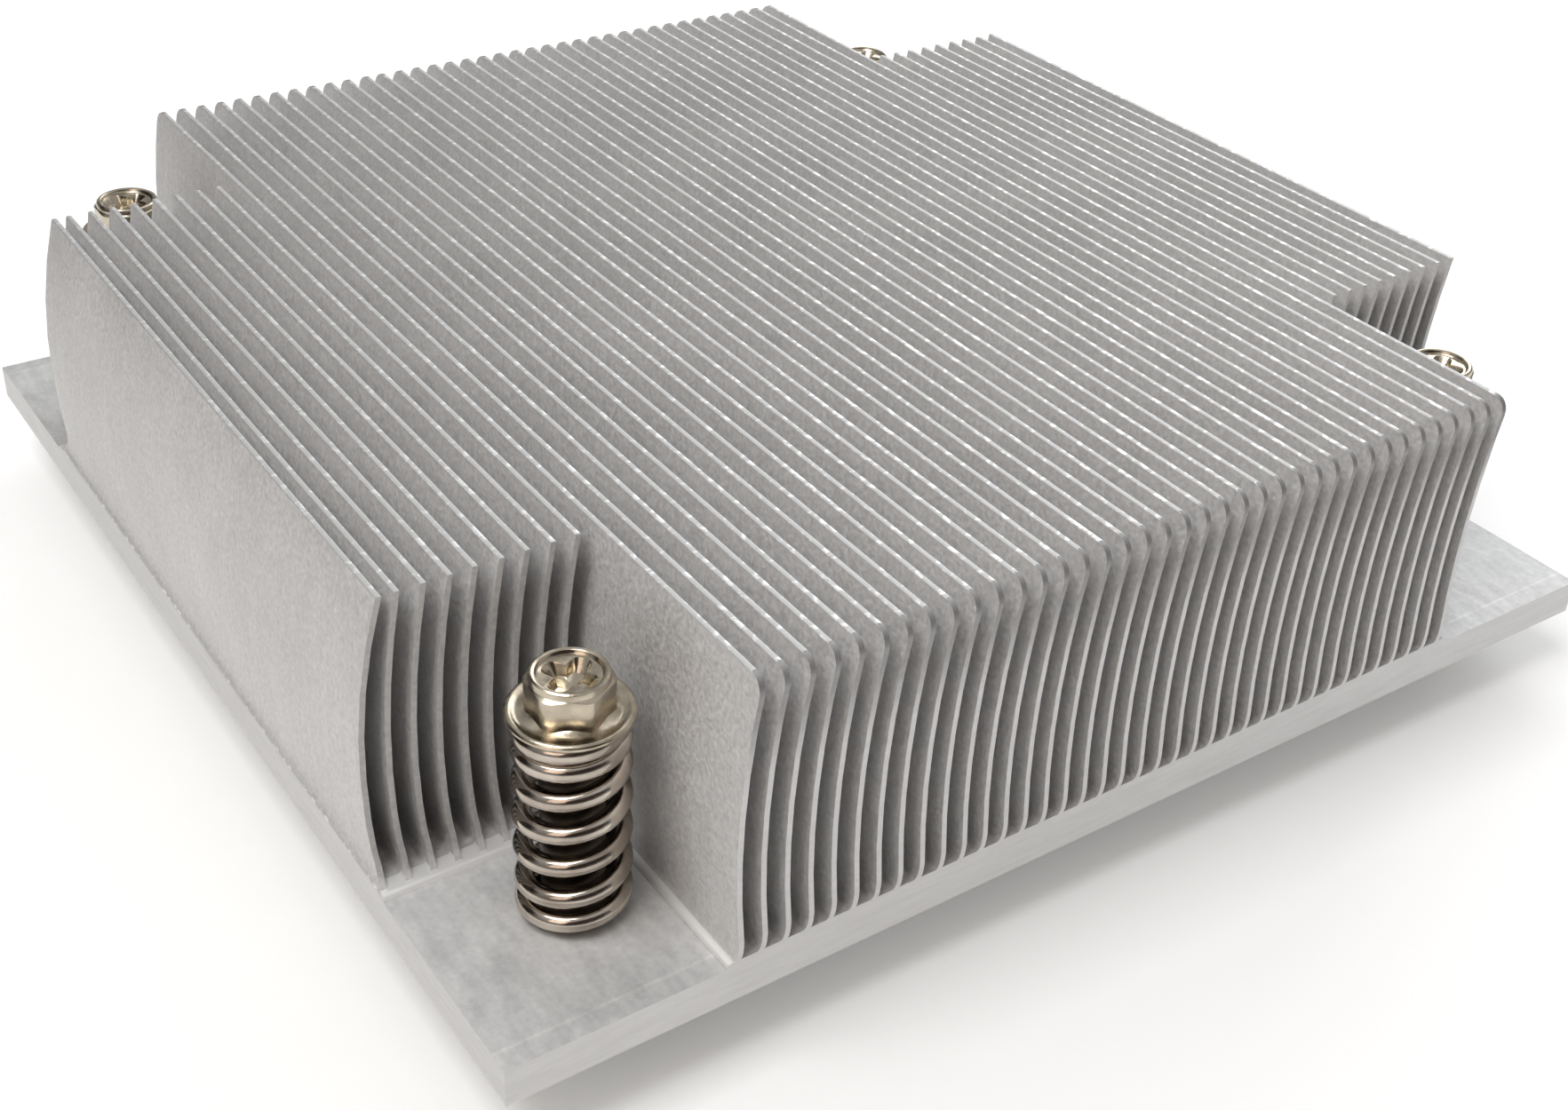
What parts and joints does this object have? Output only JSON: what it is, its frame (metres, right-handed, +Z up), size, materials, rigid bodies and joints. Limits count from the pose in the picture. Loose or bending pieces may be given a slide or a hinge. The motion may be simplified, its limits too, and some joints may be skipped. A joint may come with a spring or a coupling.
{
  "type": "cpu heatsink",
  "caption": "Low passive server heatsink of skived aluminium fins on a square base, with a spring-loaded captive screw in a notch at each corner.",
  "frame": {"origin": "centre of the base's underside, the face that meets the processor", "axes": "+Z up from the processor, +Y along the fins, +X across them, the way their tops lean"},
  "size_m": [0.095, 0.095, 0.029],
  "materials": {
    "skived_aluminium": "matte",
    "nickel_plated_steel": "satin",
    "spring_steel": "polished",
    "clip_steel": "satin"
  },
  "bodies": {
    "heatsink": {"heatsink_body": "skived_aluminium", "spring_front_left": "spring_steel", "spring_front_right": "spring_steel", "spring_rear_left": "spring_steel", "spring_rear_right": "spring_steel"},
    "clip_front_left": {"clip_front_left": "clip_steel"},
    "screw_front_left": {"screw_front_left": "nickel_plated_steel"},
    "clip_front_right": {"clip_front_right": "clip_steel"},
    "screw_front_right": {"screw_front_right": "nickel_plated_steel"},
    "clip_rear_left": {"clip_rear_left": "clip_steel"},
    "screw_rear_left": {"screw_rear_left": "nickel_plated_steel"},
    "clip_rear_right": {"clip_rear_right": "clip_steel"},
    "screw_rear_right": {"screw_rear_right": "nickel_plated_steel"}
  },
  "joints": [
    {"name": "press_front_left", "type": "slide", "parent": "heatsink", "child": "clip_front_left", "axis": [0, 0, -1], "range_m": [0, 0.005], "stiffness_N_per_m": 13500, "deforming": ["spring_front_left"]},
    {"name": "turn_front_left", "type": "hinge", "parent": "clip_front_left", "child": "screw_front_left", "pos_m": [-0.0375, -0.0375, 0], "axis": [0, 0, 1], "continuous": true},
    {"name": "press_front_right", "type": "slide", "parent": "heatsink", "child": "clip_front_right", "axis": [0, 0, -1], "range_m": [0, 0.005], "stiffness_N_per_m": 13500, "deforming": ["spring_front_right"]},
    {"name": "turn_front_right", "type": "hinge", "parent": "clip_front_right", "child": "screw_front_right", "pos_m": [0.0375, -0.0375, 0], "axis": [0, 0, 1], "continuous": true},
    {"name": "press_rear_left", "type": "slide", "parent": "heatsink", "child": "clip_rear_left", "axis": [0, 0, -1], "range_m": [0, 0.005], "stiffness_N_per_m": 13500, "deforming": ["spring_rear_left"]},
    {"name": "turn_rear_left", "type": "hinge", "parent": "clip_rear_left", "child": "screw_rear_left", "pos_m": [-0.0375, 0.0375, 0], "axis": [0, 0, 1], "continuous": true},
    {"name": "press_rear_right", "type": "slide", "parent": "heatsink", "child": "clip_rear_right", "axis": [0, 0, -1], "range_m": [0, 0.005], "stiffness_N_per_m": 13500, "deforming": ["spring_rear_right"]},
    {"name": "turn_rear_right", "type": "hinge", "parent": "clip_rear_right", "child": "screw_rear_right", "pos_m": [0.0375, 0.0375, 0], "axis": [0, 0, 1], "continuous": true}
  ]
}
